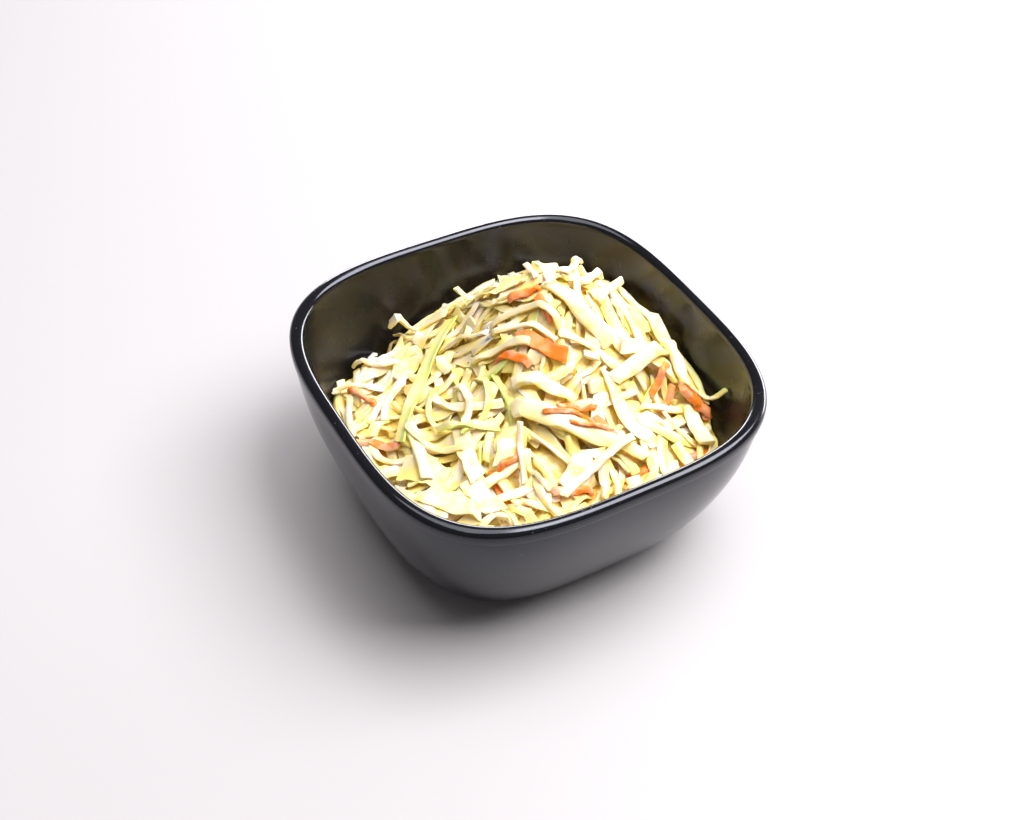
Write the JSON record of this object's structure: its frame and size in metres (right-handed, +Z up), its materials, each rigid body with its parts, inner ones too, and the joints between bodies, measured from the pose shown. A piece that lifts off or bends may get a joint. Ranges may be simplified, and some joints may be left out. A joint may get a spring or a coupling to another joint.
{
  "type": "coleslaw in a square bowl",
  "caption": "Heap of dressed cabbage and carrot shreds, higher at one corner, in a deep square bowl with round corners, flared walls and a beaded rim.",
  "frame": {"origin": "middle of the foot, on the surface that the bowl stands on", "axes": "+Z up; the bowl's four equal sides face -Y (front), +X, +Y and -X; the heap's crown is towards +X and +Y"},
  "size_m": [0.13, 0.13, 0.065],
  "materials": {
    "black_melamine": "black, moulded, satin gloss",
    "dressed_slaw": "cream white cabbage shreds with orange carrot, wet with dressing"
  },
  "bodies": {
    "root": {"bowl": "black_melamine", "coleslaw": "dressed_slaw"}
  },
  "joints": []
}
